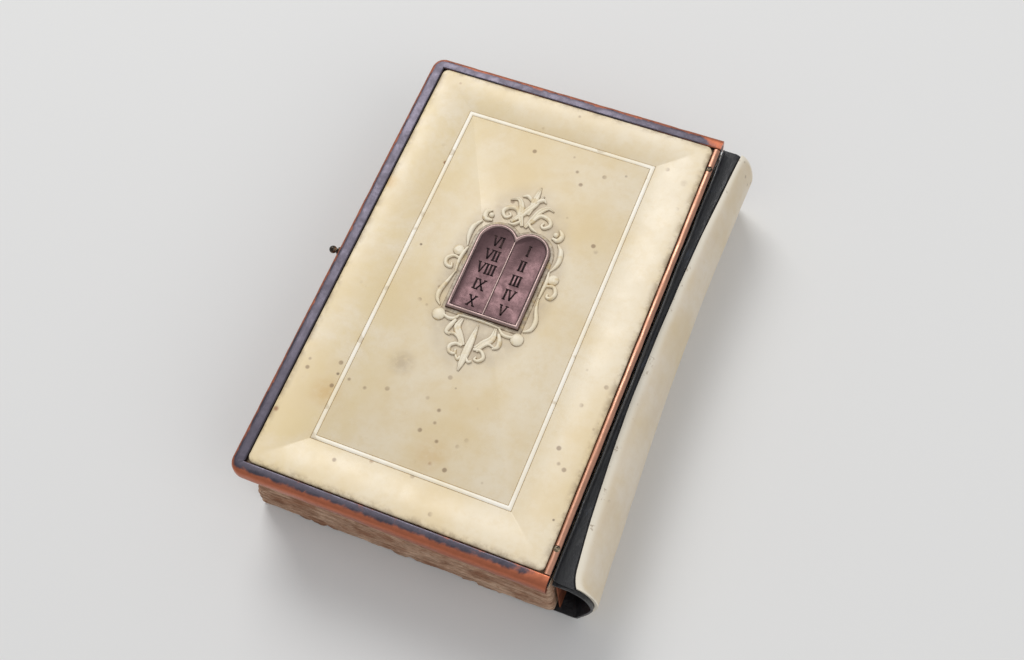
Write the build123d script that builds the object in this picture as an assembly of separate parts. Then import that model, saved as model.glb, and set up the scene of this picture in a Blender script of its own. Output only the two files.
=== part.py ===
"""Small prayer book, lying on its torn underside with the front board uppermost.

+X points to the spine, +Y to the head and +Z up. The origin lies on the table,
under the middle of the cover panel. All sizes are in millimetres.
"""
from build123d import *
import math
import os

os.makedirs("parts", exist_ok=True)

# ---- cover panel and what it carries ----
panel_width = 75.0
panel_length = 118.3
panel_thickness = 1.8
panel_corner_radius = 1.6
panel_bevel = 0.5
inlay_margin_side = 12.45      # panel edge to the middle of the inlaid line
inlay_margin_end = 10.9
inlay_width = 1.0
inlay_depth = 0.4
inlay_clearance = 0.03

tablet_radius = 5.4            # round head of each tablet
tablet_spacing = 8.4           # between the middles of the two tablets
tablet_height = 20.5           # foot to the middle of the round head
tablet_foot_y = -6.3
tablet_thickness = 1.3
tablet_border = 1.5
tablet_field_depth = 0.45
tablet_middle_x = 0.5
cartouche_thickness = 0.7
cartouche_clearance = 0.1
tablet_pin_diameter = 0.9
tablet_pin_length = 2.8
tablet_pin_spacing = 13.0
pin_clearance = 0.05           # radial, pin or shank in its hole

# ---- front board ----
board_under_z = 25.2           # thickness of the leaves below it, with its play
board_core_thickness = 2.8
pastedown_thickness = 0.2
pastedown_inset = 0.4
rim_width_fore = 3.8
rim_width_end = 3.4
rim_height = 4.3
rim_wall = 1.2
rim_corner_radius = 3.5
rim_top_round = 2.0
rim_under_round = 1.0
rim_fit = 0.1                  # between the rim and the core inside it
panel_gap = 0.2                # open line between panel and rim
strip_width = 1.7
strip_thickness = 1.2
strip_gap = 0.1
strip_pin_diameter = 0.7
strip_pin_length = 2.4
strip_pin_head = 0.15
strip_pin_inset = 9.75         # from the head or tail of the board
turn_in_width = 6.2
turn_in_thickness = 0.35
stud_ball_diameter = 2.0
stud_neck_diameter = 1.5
stud_projection = 2.7
stud_shank_in_board = 3.5
stud_below_core_top = 0.8

# ---- leaves ----
square_end = 1.75              # board beyond the leaves at head and tail
square_fore_top = 6.7          # board beyond the uppermost leaf at the fore edge
square_fore_foot = 1.2         # and beyond the lowest leaves
lean_foot_z = 5.0              # below this the fore edge stands upright
flyleaf_play = 0.25
flyleaf_thickness = 0.2
turning_play = 0.15
turning_thickness = 2.0
turning_gap = 0.1
turning_count = 3
sewn_gap = 0.05
sewn_count = 8
last_gathering_thickness = 1.25
last_gathering_short = 11.0    # stops this far short of the spine
fold_radius = 0.6

# ---- spine ----
spine_step = 0.1               # free line between one spine lining and the next
tape_width = 7.0
tape_thickness = 0.3
tape_spacing = 34.0
tape_count = 3
thread_diameter = 0.4
thread_inset = 7.5             # kettle stitches, from the ends of the leaves
mull_thickness = 0.25
lining_thickness = 0.3
lining_inset = 2.0             # from the ends of the leaves
lining_foot_z = 1.6
lining_below_board = 1.6

shell_stand_off = 2.4          # from the folds to the nearest point of its edges
shell_below_board = 0.2
shell_bulge = 5.5
shell_thickness = 0.8
shell_tail_inset = 3.75
shell_head_inset = 0.25
shell_bow_radius = 763.0
shell_bow_y = 8.66
leather_thickness = 0.55
leather_clearance = 0.1
leather_tail_inset = 3.85
leather_head_inset = 1.15
leather_below_board = 0.35
leather_flap_gap = 0.3         # from the folds to the flap
leather_stub_gap = 0.7         # from the last gathering to the stub
leather_stub_thickness = 0.6

# ---- places worked out from the sizes above ----
core_under_z = board_under_z + pastedown_thickness
core_top_z = core_under_z + board_core_thickness
panel_top_z = core_top_z + panel_thickness
rim_top_z = board_under_z + rim_height
board_fore_x = -(panel_width / 2 + panel_gap + rim_width_fore)
board_spine_x = panel_width / 2 + strip_gap + strip_width
board_end_y = panel_length / 2 + panel_gap + rim_width_end
core_fore_x = board_fore_x + rim_wall + rim_fit
core_spine_x = board_spine_x - turn_in_thickness - strip_gap / 2
core_end_y = board_end_y - rim_wall - rim_fit
stud_middle_z = core_top_z - stud_below_core_top

leaves_end_y = board_end_y - square_end
folds_x = board_spine_x
flyleaf_top_z = board_under_z - flyleaf_play
turning_top_z = flyleaf_top_z - flyleaf_thickness - turning_play
sewn_top_z = turning_top_z - turning_count * (turning_thickness + turning_gap)
sewn_foot_z = last_gathering_thickness + sewn_gap
last_gathering_x = folds_x - last_gathering_short

tapes_x = folds_x + spine_step
mull_x = tapes_x + tape_thickness + spine_step
lining_x = mull_x + mull_thickness + spine_step
lining_top_z = board_under_z - lining_below_board
thread_y = leaves_end_y - thread_inset
shell_edge_x = folds_x + shell_stand_off
shell_height = board_under_z - shell_below_board
shell_tail_y = -(board_end_y - shell_tail_inset)
shell_head_y = board_end_y - shell_head_inset
leather_tail_y = -(board_end_y - leather_tail_inset)
leather_head_y = board_end_y - leather_head_inset
leather_top_z = board_under_z - leather_below_board
leather_flap_x = folds_x + leather_flap_gap
leather_stub_x = last_gathering_x + leather_stub_gap


def block(x0, x1, y0, y1, z0, z1):
    """Box between two opposite corners."""
    corner = Align.MIN
    return Pos(x0, y0, z0) * Box(x1 - x0, y1 - y0, z1 - z0, align=(corner, corner, corner))


def rounded_plate(x0, x1, y_end, z0, z1, radius):
    """Plate, symmetric about Y, with its four upright edges rounded."""
    plate = block(x0, x1, -y_end, y_end, z0, z1)
    return fillet(plate.edges().filter_by(Axis.Z), radius)


def upright_pin(x, y, z_foot, length, diameter):
    """Round pin along Z."""
    foot = (Align.CENTER, Align.CENTER, Align.MIN)
    return Pos(x, y, z_foot) * Cylinder(diameter / 2, length, align=foot)


def hole_for(diameter):
    """Diameter of the hole that takes a pin."""
    return diameter + 2 * pin_clearance


# ---- front board ----

def inlay_frame(width, depth):
    """Rectangular line, flush with the top of the panel."""
    x = panel_width / 2 - inlay_margin_side
    y = panel_length / 2 - inlay_margin_end
    half = width / 2
    outer = block(-x - half, x + half, -y - half, y + half, panel_top_z - depth, panel_top_z)
    inner = block(-x + half, x - half, -y + half, y - half, panel_top_z - depth, panel_top_z)
    return outer - inner


def tablet_pins(diameter):
    """Two pins behind the tablets, into the board."""
    middle_y = tablet_foot_y + (tablet_height + tablet_radius) / 2
    pins = []
    for side in (-1, 1):
        y = middle_y + side * tablet_pin_spacing / 2
        foot_z = panel_top_z - tablet_pin_length
        pins.append(upright_pin(tablet_middle_x, y, foot_z, tablet_pin_length, diameter))
    return pins


def strip_pins(diameter, top_z):
    """Two nails through the metal strip beside the spine."""
    x = board_spine_x - strip_width / 2
    foot_z = core_top_z + strip_thickness - strip_pin_length
    pins = []
    for side in (-1, 1):
        y = side * (board_end_y - strip_pin_inset)
        pins.append(upright_pin(x, y, foot_z, top_z - foot_z, diameter))
    return pins


def stud_shank(diameter):
    """Neck and shank of the clasp stud, along X from the ball into the board."""
    ball_x = board_fore_x - stud_projection + stud_ball_diameter / 2
    length = board_fore_x + stud_shank_in_board - ball_x
    turned = Pos(ball_x, 0, stud_middle_z) * Rot(0, 90, 0)
    foot = (Align.CENTER, Align.CENTER, Align.MIN)
    return turned * Cylinder(diameter / 2, length, align=foot)


def turn_in():
    """Leather pasted under the board and up its spine edge."""
    y = core_end_y - rim_fit
    outer_x = core_spine_x + turn_in_thickness
    flange = block(outer_x - turn_in_width, outer_x, -y, y,
                   core_under_z, core_under_z + turn_in_thickness)
    upstand = block(core_spine_x, outer_x, -y, y, core_under_z, core_top_z - strip_gap)
    return flange + upstand


def front_board_core():
    """Pasteboard that carries the panel, the rim and the hinge leather."""
    core = block(core_fore_x, core_spine_x, -core_end_y, core_end_y, core_under_z, core_top_z)
    fore_edges = core.edges().filter_by(Axis.Z).sort_by(Axis.X)[:2]
    core = fillet(fore_edges, rim_corner_radius - rim_wall)
    core -= turn_in()
    core -= stud_shank(hole_for(stud_neck_diameter))
    for pin in tablet_pins(hole_for(tablet_pin_diameter)):
        core -= pin
    for pin in strip_pins(hole_for(strip_pin_diameter), core_top_z):
        core -= pin
    return core


def front_panel():
    """Cover panel with a bevelled edge and a groove for the inlaid line."""
    half = panel_width / 2
    panel = rounded_plate(-half, half, panel_length / 2, core_top_z, panel_top_z,
                          panel_corner_radius)
    panel = chamfer(panel.faces().sort_by(Axis.Z)[-1].edges(), panel_bevel)
    panel -= inlay_frame(inlay_width, inlay_depth)
    for pin in tablet_pins(hole_for(tablet_pin_diameter)):
        panel -= pin
    return panel


def tablets_plan(grow):
    """Outline of the pair of round-headed tablets, larger all round by grow."""
    head_y = tablet_foot_y + tablet_height
    plan = Sketch()
    for side in (-1, 1):
        x = tablet_middle_x + side * tablet_spacing / 2
        radius = tablet_radius + grow
        plan += Pos(x, head_y) * Circle(radius)
        shaft = Rectangle(2 * radius, tablet_height + grow, align=(Align.CENTER, Align.MAX))
        plan += Pos(x, head_y) * shaft
    return plan


def tablets_plaque():
    """Metal plaque of two tablets, each with a sunk field inside a raised border."""
    plaque = extrude(Pos(0, 0, panel_top_z) * tablets_plan(0), tablet_thickness)
    head_y = tablet_foot_y + tablet_height
    field_z = panel_top_z + tablet_thickness - tablet_field_depth
    field_radius = tablet_spacing / 2 - tablet_border / 4
    for side in (-1, 1):
        x = tablet_middle_x + side * tablet_spacing / 2
        foot_y = tablet_foot_y + tablet_border
        field = Pos(x, head_y) * Circle(field_radius)
        size_y = head_y - foot_y
        field += Pos(x, head_y) * Rectangle(2 * field_radius, size_y,
                                            align=(Align.CENTER, Align.MAX))
        plaque -= extrude(Pos(0, 0, field_z) * field, tablet_field_depth)
    return plaque


def front_cartouche():
    """Thin scrolled surround of the tablets: a crest, two side scrolls and a drop."""
    right_side = [(0.0, 32.5), (3.4, 29.2), (5.8, 27.0), (5.6, 22.8), (9.6, 22.6),
                  (10.4, 19.2), (12.1, 15.8), (11.4, 11.0), (14.3, 9.0), (14.5, 4.6),
                  (12.2, 2.6), (13.0, -2.8), (12.3, -9.3), (8.6, -10.2), (6.6, -13.0),
                  (4.4, -16.2), (1.3, -18.0)]
    left_side = [(-x, y) for x, y in reversed(right_side[1:])]
    outline = Spline(right_side + [(0.0, -20.6)] + left_side, periodic=True)
    plan = Pos(tablet_middle_x / 2, 0, panel_top_z) * make_face(outline)
    surround = extrude(plan, cartouche_thickness)
    window = Pos(0, 0, panel_top_z) * tablets_plan(cartouche_clearance)
    return surround - extrude(window, cartouche_thickness)


def front_rim():
    """Rounded metal channel round the fore edge, head and tail of the board."""
    beyond = board_spine_x + 2 * rim_corner_radius
    rim = rounded_plate(board_fore_x, beyond, board_end_y, board_under_z, rim_top_z,
                        rim_corner_radius)
    rim = fillet(rim.faces().sort_by(Axis.Z)[-1].edges(), rim_top_round)
    rim = fillet(rim.faces().sort_by(Axis.Z)[0].edges(), rim_under_round)
    rim &= block(board_fore_x, board_spine_x, -board_end_y, board_end_y,
                 board_under_z, rim_top_z)
    wall_x = board_fore_x + rim_wall
    wall_y = board_end_y - rim_wall
    rim -= rounded_plate(wall_x, beyond, wall_y, board_under_z, core_top_z + rim_fit / 2,
                         rim_corner_radius - rim_wall)
    window_x = -panel_width / 2 - panel_gap
    window_y = panel_length / 2 + panel_gap
    rim -= block(window_x, beyond, -window_y, window_y, board_under_z, rim_top_z)
    return rim - stud_shank(hole_for(stud_neck_diameter))


def front_spine_strip():
    """Narrow metal strip along the spine side of the panel."""
    y = panel_length / 2 + panel_gap - strip_gap
    strip = block(board_spine_x - strip_width, board_spine_x, -y, y,
                  core_top_z, core_top_z + strip_thickness)
    long_top_edges = strip.faces().sort_by(Axis.Z)[-1].edges().filter_by(Axis.Y)
    strip = fillet(long_top_edges, strip_width / 5)
    for pin in strip_pins(hole_for(strip_pin_diameter), core_top_z + strip_thickness):
        strip -= pin
    return strip


def clasp_stud():
    """Ball-headed pin that a clasp strap once caught."""
    ball_x = board_fore_x - stud_projection + stud_ball_diameter / 2
    ball = Pos(ball_x, 0, stud_middle_z) * Sphere(stud_ball_diameter / 2)
    return ball + stud_shank(stud_neck_diameter)


def front_pastedown():
    """Paper over the inside of the board and its leather turn-in."""
    inset = pastedown_inset
    paper = block(core_fore_x + inset, core_spine_x + turn_in_thickness - inset,
                  -core_end_y + inset, core_end_y - inset, board_under_z, core_under_z)
    fore_edges = paper.edges().filter_by(Axis.Z).sort_by(Axis.X)[:2]
    return fillet(fore_edges, rim_corner_radius - rim_wall)


# ---- leaves ----

def fore_edge_x(z):
    """The leaning fore edge: straight down to its foot, then upright."""
    foot_x = board_fore_x + square_fore_foot
    top_x = board_fore_x + square_fore_top
    if z <= lean_foot_z:
        return foot_x
    return foot_x + (z - lean_foot_z) / (board_under_z - lean_foot_z) * (top_x - foot_x)


def leaves(z0, z1, spine_x, round_fold):
    """A stack of leaves between two heights, its fore edge following the lean."""
    corners = [(fore_edge_x(z0), z0), (spine_x, z0), (spine_x, z1), (fore_edge_x(z1), z1)]
    side = make_face(Polyline(corners, close=True))
    stack = extrude(Plane.XZ.offset(-leaves_end_y) * side, 2 * leaves_end_y)
    if not round_fold:
        return stack
    fold_edges = stack.edges().filter_by(Axis.Y).sort_by(Axis.X)[-2:]
    return fillet(fold_edges, fold_radius)


def turning_leaves(index):
    """One of the upper sections that turn with the board, counted from the top."""
    top_z = turning_top_z - index * (turning_thickness + turning_gap)
    return leaves(top_z - turning_thickness, top_z, folds_x, False)


def sewn_gathering(index):
    """One of the gatherings that stay shut, counted from the top."""
    pitch = (sewn_top_z - sewn_foot_z) / sewn_count
    top_z = sewn_top_z - index * pitch
    return leaves(top_z - pitch + sewn_gap, top_z, folds_x, True)


def front_flyleaf():
    """Endpaper leaf over the first gathering."""
    return leaves(flyleaf_top_z - flyleaf_thickness, flyleaf_top_z, folds_x, False)


def last_gathering():
    """Torn lowest leaves, short of the spine where the leather stub lies."""
    return leaves(0, last_gathering_thickness, last_gathering_x, False)


# ---- spine ----

def sewing_tapes():
    """Woven tapes across the folds."""
    tapes = []
    for step in range(tape_count):
        y = (step - (tape_count - 1) / 2) * tape_spacing
        tapes.append(block(tapes_x, tapes_x + tape_thickness, y - tape_width / 2,
                           y + tape_width / 2, lining_foot_z, lining_top_z))
    return Compound(children=tapes)


def sewing_threads():
    """Kettle stitches that link the gatherings near the head and the tail."""
    x = tapes_x + thread_diameter / 2
    length = lining_top_z - lining_foot_z
    threads = []
    for side in (-1, 1):
        y = side * thread_y
        threads.append(upright_pin(x, y, lining_foot_z, length, thread_diameter))
    return Compound(children=threads)


def spine_mull():
    """Open cloth over the tapes, between the kettle stitches."""
    y = thread_y - thread_diameter
    return block(mull_x, mull_x + mull_thickness, -y, y, lining_foot_z, lining_top_z)


def spine_lining():
    """Red-brown paper over the cloth."""
    y = leaves_end_y - lining_inset
    return block(lining_x, lining_x + lining_thickness, -y, y, lining_foot_z, lining_top_z)


shell_outer_radius = (shell_height ** 2 / 4 + shell_bulge ** 2) / (2 * shell_bulge)
shell_middle_x = shell_edge_x + shell_bulge - shell_outer_radius
shell_middle_z = shell_height / 2
bow_axis = Axis((shell_edge_x + shell_bow_radius, shell_bow_y, 0), (0, 0, 1))


def swept_on_bow(face, tail_y, head_y):
    """Carry an XZ section along the gentle bow of the spine, from tail to head."""
    to_tail = math.degrees(math.asin((shell_bow_y - tail_y) / shell_bow_radius))
    to_head = math.degrees(math.asin((head_y - shell_bow_y) / shell_bow_radius))
    section = Plane.XZ.offset(-shell_bow_y) * face
    at_head = section.rotate(bow_axis, -to_head)
    return revolve(at_head, bow_axis, to_head + to_tail)


def arc_point(radius, angle):
    """Point of the shell's section, by radius and angle in degrees from +X."""
    turn = math.radians(angle)
    return (shell_middle_x + radius * math.cos(turn), shell_middle_z + radius * math.sin(turn))


def curved_wall(radius, thickness, half_angle):
    """Section of a curved wall, open towards the block."""
    inner = radius - thickness
    outside = ThreePointArc(arc_point(radius, -half_angle), arc_point(radius, 0),
                            arc_point(radius, half_angle))
    inside = ThreePointArc(arc_point(inner, half_angle), arc_point(inner, 0),
                           arc_point(inner, -half_angle))
    foot = Line(arc_point(inner, -half_angle), arc_point(radius, -half_angle))
    top = Line(arc_point(radius, half_angle), arc_point(inner, half_angle))
    return make_face([outside, top, inside, foot])


def half_angle_for(radius, height):
    """Angle from +X at which an arc of this radius reaches half the height."""
    return math.degrees(math.asin(height / 2 / radius))


def spine_shell():
    """Thin curved back of the spine, bowed so that its ends stand off the book."""
    face = curved_wall(shell_outer_radius, shell_thickness,
                       half_angle_for(shell_outer_radius, shell_height))
    return swept_on_bow(face, shell_tail_y, shell_head_y)


def spine_leather():
    """Leather lining of the shell, its joint flap above and its torn stub below."""
    radius = shell_outer_radius - shell_thickness - leather_clearance
    half_angle = half_angle_for(radius, shell_height)
    top = arc_point(radius, half_angle)
    foot = arc_point(radius, -half_angle)
    arc = ThreePointArc(foot, arc_point(radius, 0), top)
    back = Polyline([top, (leather_stub_x, top[1]), (leather_stub_x, foot[1]), foot])
    room = swept_on_bow(make_face([arc, back]), leather_tail_y, leather_head_y)
    wall = swept_on_bow(curved_wall(radius, leather_thickness, half_angle),
                        leather_tail_y, leather_head_y)
    far_x = shell_edge_x + 2 * shell_bulge
    tail_y = leather_tail_y - shell_bulge
    head_y = leather_head_y + shell_bulge
    wall &= block(leather_stub_x, far_x, tail_y, head_y, 0, leather_top_z)
    flap = room & block(leather_flap_x, far_x, tail_y, head_y,
                        leather_top_z - leather_thickness, leather_top_z)
    stub = room & block(leather_stub_x, far_x, tail_y, head_y, 0, leather_stub_thickness)
    return wall + flap + stub


parts = {
    "front_board_core": front_board_core(),
    "front_panel": front_panel(),
    "front_inlay_line": inlay_frame(inlay_width - 2 * inlay_clearance, inlay_depth),
    "front_cartouche": front_cartouche(),
    "tablets_plaque": tablets_plaque(),
    "tablets_pins": Compound(children=tablet_pins(tablet_pin_diameter)),
    "front_rim": front_rim(),
    "front_spine_strip": front_spine_strip(),
    "strip_pins": Compound(children=strip_pins(
        strip_pin_diameter, core_top_z + strip_thickness + strip_pin_head)),
    "clasp_stud": clasp_stud(),
    "front_turn_in": turn_in(),
    "front_pastedown": front_pastedown(),
    "front_flyleaf": front_flyleaf(),
    "last_gathering": last_gathering(),
    "sewing_tapes": sewing_tapes(),
    "sewing_threads": sewing_threads(),
    "spine_mull": spine_mull(),
    "spine_lining": spine_lining(),
    "spine_leather": spine_leather(),
    "spine_shell": spine_shell(),
}
for index in range(turning_count):
    parts["turning_leaves_" + str(index + 1)] = turning_leaves(index)
for index in range(sewn_count):
    parts["gathering_" + str(index + 1).zfill(2)] = sewn_gathering(index)

for name, shape in parts.items():
    export_step(shape, "parts/" + name + ".step")
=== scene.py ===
import math

import bmesh
import bpy
import numpy as np
from mathutils import Matrix, Vector


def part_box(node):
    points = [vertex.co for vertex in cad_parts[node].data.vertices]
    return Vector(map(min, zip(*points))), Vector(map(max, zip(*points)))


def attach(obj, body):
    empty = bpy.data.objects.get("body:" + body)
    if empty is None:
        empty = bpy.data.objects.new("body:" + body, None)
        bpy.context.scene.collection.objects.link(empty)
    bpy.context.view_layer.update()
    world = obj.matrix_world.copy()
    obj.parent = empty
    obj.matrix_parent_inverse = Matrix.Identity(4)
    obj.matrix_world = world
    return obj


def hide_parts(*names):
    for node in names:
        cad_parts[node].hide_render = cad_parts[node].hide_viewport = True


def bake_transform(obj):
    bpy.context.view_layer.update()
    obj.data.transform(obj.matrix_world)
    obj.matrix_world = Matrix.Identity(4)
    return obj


bl_info = {
    "name": "Prayer Book",
    "version": (1, 0, 0),
    "blender": (4, 5, 0),
    "location": "3D View > Sidebar > Prayer Book",
    "description": "Builds the covers, leaves, spine and metalwork of a small old prayer book",
    "category": "Add Mesh",
}

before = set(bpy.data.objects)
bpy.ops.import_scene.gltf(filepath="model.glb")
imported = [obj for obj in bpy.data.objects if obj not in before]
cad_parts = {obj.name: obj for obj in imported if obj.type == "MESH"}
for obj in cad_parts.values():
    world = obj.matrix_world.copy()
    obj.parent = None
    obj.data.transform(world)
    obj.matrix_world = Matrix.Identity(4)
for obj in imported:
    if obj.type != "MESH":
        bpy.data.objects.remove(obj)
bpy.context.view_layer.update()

MM = 0.001
BLOCK = "book_block"
BOARD = "front_board"


def corners(node):
    """Lowest and highest corner of a CAD node, in millimetres."""
    low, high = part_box(node)
    return np.array(low) / MM, np.array(high) / MM


PANEL_LOW, PANEL_HIGH = corners("front_panel")
RIM_LOW, RIM_HIGH = corners("front_rim")
STRIP_LOW, STRIP_HIGH = corners("front_spine_strip")
PLAQUE_LOW, PLAQUE_HIGH = corners("tablets_plaque")
STUD_LOW, STUD_HIGH = corners("clasp_stud")
SHELL_LOW, SHELL_HIGH = corners("spine_shell")
LEATHER_LOW, LEATHER_HIGH = corners("spine_leather")
TURN_IN_LOW, TURN_IN_HIGH = corners("front_turn_in")
PANEL_TOP = PANEL_HIGH[2]


# ---------------------------------------------------------------- meshes

def grid_faces(rows, columns, wrap=False):
    """Quads of a grid of points, row after row. Wrapped, the last column meets the first."""
    across = columns if wrap else columns - 1
    row, column = np.meshgrid(np.arange(rows - 1), np.arange(across), indexing="ij")
    after = (column + 1) % columns
    quads = np.stack([row * columns + column, row * columns + after,
                      (row + 1) * columns + after, (row + 1) * columns + column], axis=-1)
    return quads.reshape(-1, 4)


def loft(rings, capped=True):
    """Closed rings of points joined one to the next, with a flat face over each end."""
    rings = np.asarray(rings, float)
    count, around = rings.shape[:2]
    faces = [tuple(quad) for quad in grid_faces(count, around, wrap=True)]
    if capped:
        faces.append(tuple(range(around - 1, -1, -1)))
        last = (count - 1) * around
        faces.append(tuple(range(last, last + around)))
    return rings.reshape(-1, 3), faces


def thick_sheet(top, under):
    """Two grids of points of one size, joined round their edges into a closed sheet."""
    rows, columns = top.shape[:2]
    upper = grid_faces(rows, columns)
    lower = upper[:, ::-1] + rows * columns
    index = np.arange(rows * columns).reshape(rows, columns)
    edge = np.concatenate([index[0, :], index[1:, -1], index[-1, -2::-1], index[-2:0:-1, 0]])
    after = np.roll(edge, -1)
    skirt = np.stack([after, edge, edge + rows * columns, after + rows * columns], axis=-1)
    points = np.concatenate([top.reshape(-1, 3), under.reshape(-1, 3)])
    return points, [tuple(face) for face in np.concatenate([upper, lower, skirt])]


def joined(parts):
    """Several (points, faces) pairs as one."""
    points, faces, start = [], [], 0
    for some_points, some_faces in parts:
        points.append(np.asarray(some_points, float).reshape(-1, 3))
        faces.extend(tuple(int(i) + start for i in face) for face in some_faces)
        start += len(points[-1])
    return np.concatenate(points), faces


def outward(mesh):
    """Turns the faces of a closed mesh outwards, one loose shell at a time."""
    work = bmesh.new()
    work.from_mesh(mesh)
    bmesh.ops.recalc_face_normals(work, faces=work.faces)
    work.to_mesh(mesh)
    work.free()


def add_piece(name, shape, material, body, stands_for=(), sharp=35, attribute=None):
    """Makes an object from (points, faces) in millimetres and lets it ride on a body."""
    points, faces = shape
    mesh = bpy.data.meshes.new(name)
    mesh.from_pydata((np.asarray(points) * MM).tolist(), [], faces)
    mesh.update()
    outward(mesh)
    mesh.polygons.foreach_set("use_smooth", np.ones(len(mesh.polygons), bool))
    mesh.set_sharp_from_angle(angle=math.radians(sharp))
    if attribute is not None:
        for key, values in attribute.items():
            layer = mesh.attributes.new(key, "FLOAT", "POINT")
            layer.data.foreach_set("value", np.asarray(values, np.float32))
    mesh.materials.append(material)
    piece = bpy.data.objects.new(name, mesh)
    bpy.context.scene.collection.objects.link(piece)
    if body:
        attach(piece, body)
    if stands_for:
        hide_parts(*stands_for)
    return piece


def finish_node(node, material):
    """Gives a CAD node that stays in view its material."""
    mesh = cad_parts[node].data
    mesh.materials.clear()
    mesh.materials.append(material)


def smooth_noise(position, seed, waves=5, coarsest=1.0):
    """Sum of sines of rising pitch and falling height with random phases, about -1 to 1."""
    chance = np.random.default_rng(seed)
    total = np.zeros_like(np.asarray(position, float))
    for wave in range(waves):
        pitch = coarsest * 1.9 ** wave * chance.uniform(0.8, 1.2)
        total = total + np.sin(position * pitch + chance.uniform(0, 2 * np.pi)) / 1.6 ** wave
    return total / 2.0


def surface_noise(first, second, seed, waves=5, coarsest=1.0):
    """The same in two directions: each wave runs its own way over the surface."""
    chance = np.random.default_rng(seed)
    total = np.zeros_like(np.asarray(first, float))
    for wave in range(waves):
        way = chance.uniform(0, 2 * np.pi)
        pitch = coarsest * 1.8 ** wave
        along = first * np.cos(way) + second * np.sin(way)
        bend = np.sin((first * np.sin(way) - second * np.cos(way)) * pitch * 0.6
                      + chance.uniform(0, 6))
        total = total + np.sin(along * pitch + 1.3 * bend + chance.uniform(0, 6)) / 1.7 ** wave
    return total / 2.0


def rounded_rectangle(half_x, half_y, radius, per_corner=8, per_side=6):
    """Closed outline: four quarter circles joined by straight sides, from the +X side."""
    outline = []
    middles = [(1, 1, 0), (-1, 1, 90), (-1, -1, 180), (1, -1, 270)]
    for sign_x, sign_y, start in middles:
        angle = np.radians(np.linspace(start, start + 90, per_corner))
        centre = np.array([sign_x * (half_x - radius), sign_y * (half_y - radius)])
        arc = centre + radius * np.stack([np.cos(angle), np.sin(angle)], axis=1)
        outline.append(arc)
    path = []
    for arc, following in zip(outline, outline[1:] + outline[:1]):
        share = np.linspace(0, 1, per_side + 2)[1:-1, None]
        path.append(arc)
        path.append(arc[-1] * (1 - share) + following[0] * share)
    return np.concatenate(path)


def at_height(outline, z):
    """A flat outline as points at one height."""
    return np.column_stack([outline, np.full(len(outline), z)])


def through(points, count):
    """Smooth curve through a few points: cubic Hermite pieces with mean slopes."""
    points = np.asarray(points, float)
    slope = np.gradient(points, axis=0)
    place = np.linspace(0, len(points) - 1, count)
    index = np.minimum(place.astype(int), len(points) - 2)
    t = (place - index)[:, None]
    here, there = points[index], points[index + 1]
    leave, arrive = slope[index], slope[index + 1]
    return ((2 * t ** 3 - 3 * t ** 2 + 1) * here + (t ** 3 - 2 * t ** 2 + t) * leave
            + (3 * t ** 2 - 2 * t ** 3) * there + (t ** 3 - t ** 2) * arrive)


# ---------------------------------------------------------------- materials

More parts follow.
